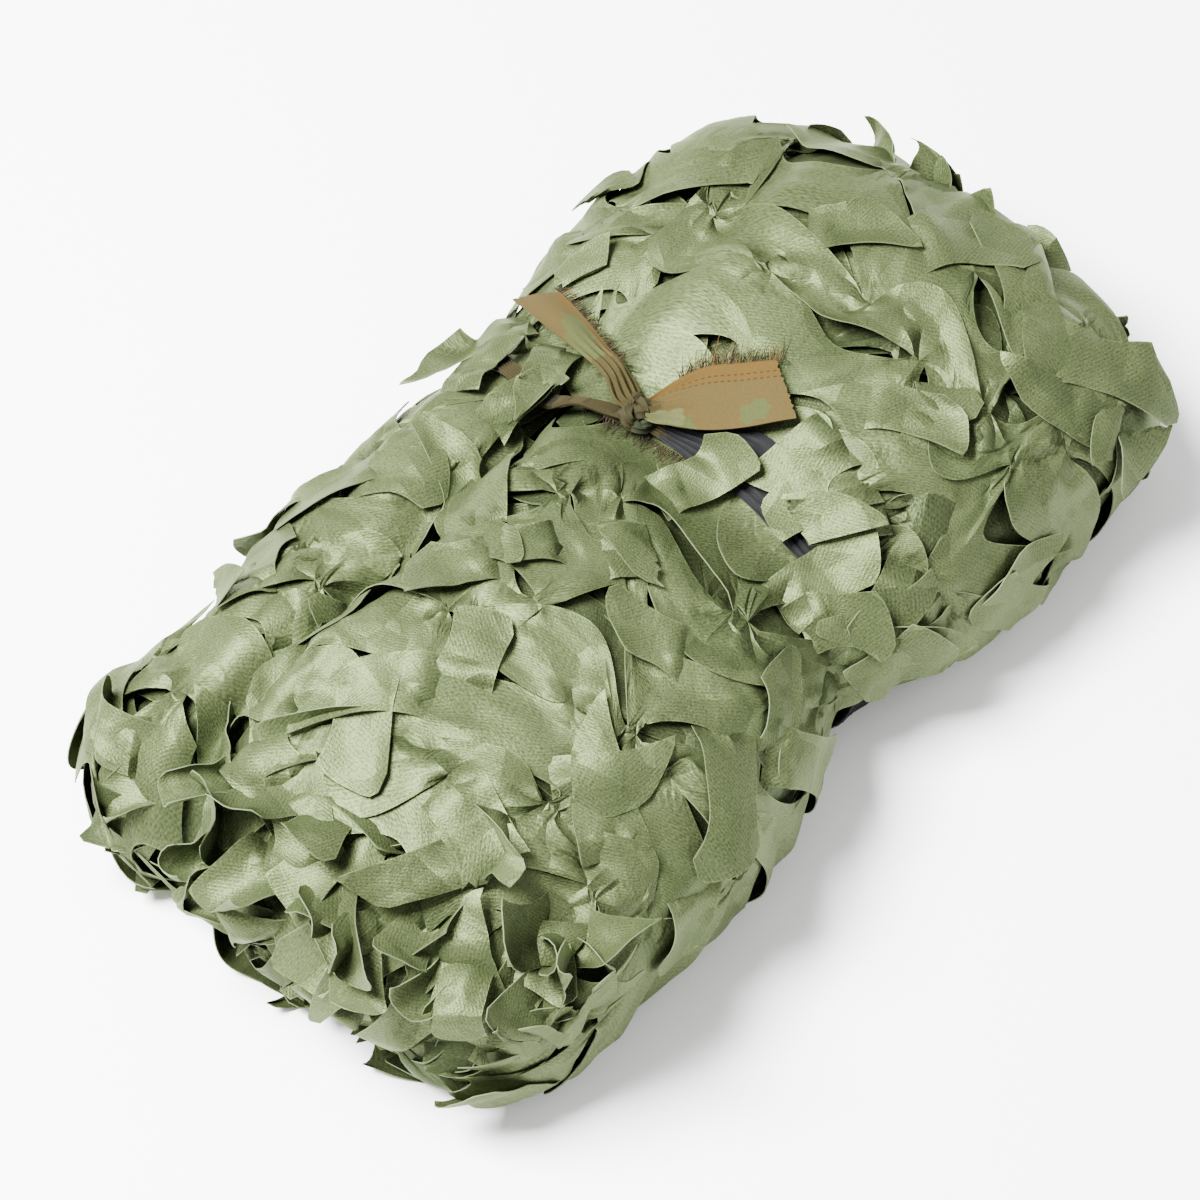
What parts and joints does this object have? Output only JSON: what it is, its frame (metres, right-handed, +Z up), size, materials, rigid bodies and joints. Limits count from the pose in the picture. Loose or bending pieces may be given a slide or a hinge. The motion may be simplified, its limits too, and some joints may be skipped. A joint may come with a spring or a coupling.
{
  "type": "folded camouflage net with a tie",
  "caption": "Leaf-cut camouflage net folded back and forth into an oblong bundle, drawn in and tied round its middle with a torn strip of printed cloth.",
  "frame": {"origin": "on the floor under the middle of the bundle", "axes": "+X along the bundle, away from its crumpled end, +Y to the side of the smaller lobe, +Z up"},
  "size_m": [0.4169, 0.2364, 0.1118],
  "materials": {
    "net_cloth": "satin",
    "tie_cloth": "matt, camouflage print",
    "tie_thread": "matt"
  },
  "bodies": {
    "root": {"net": "net_cloth", "tie": "tie_cloth", "fray_right": "tie_thread", "fray_upper": "tie_thread", "fray_band": "tie_thread"}
  },
  "joints": []
}
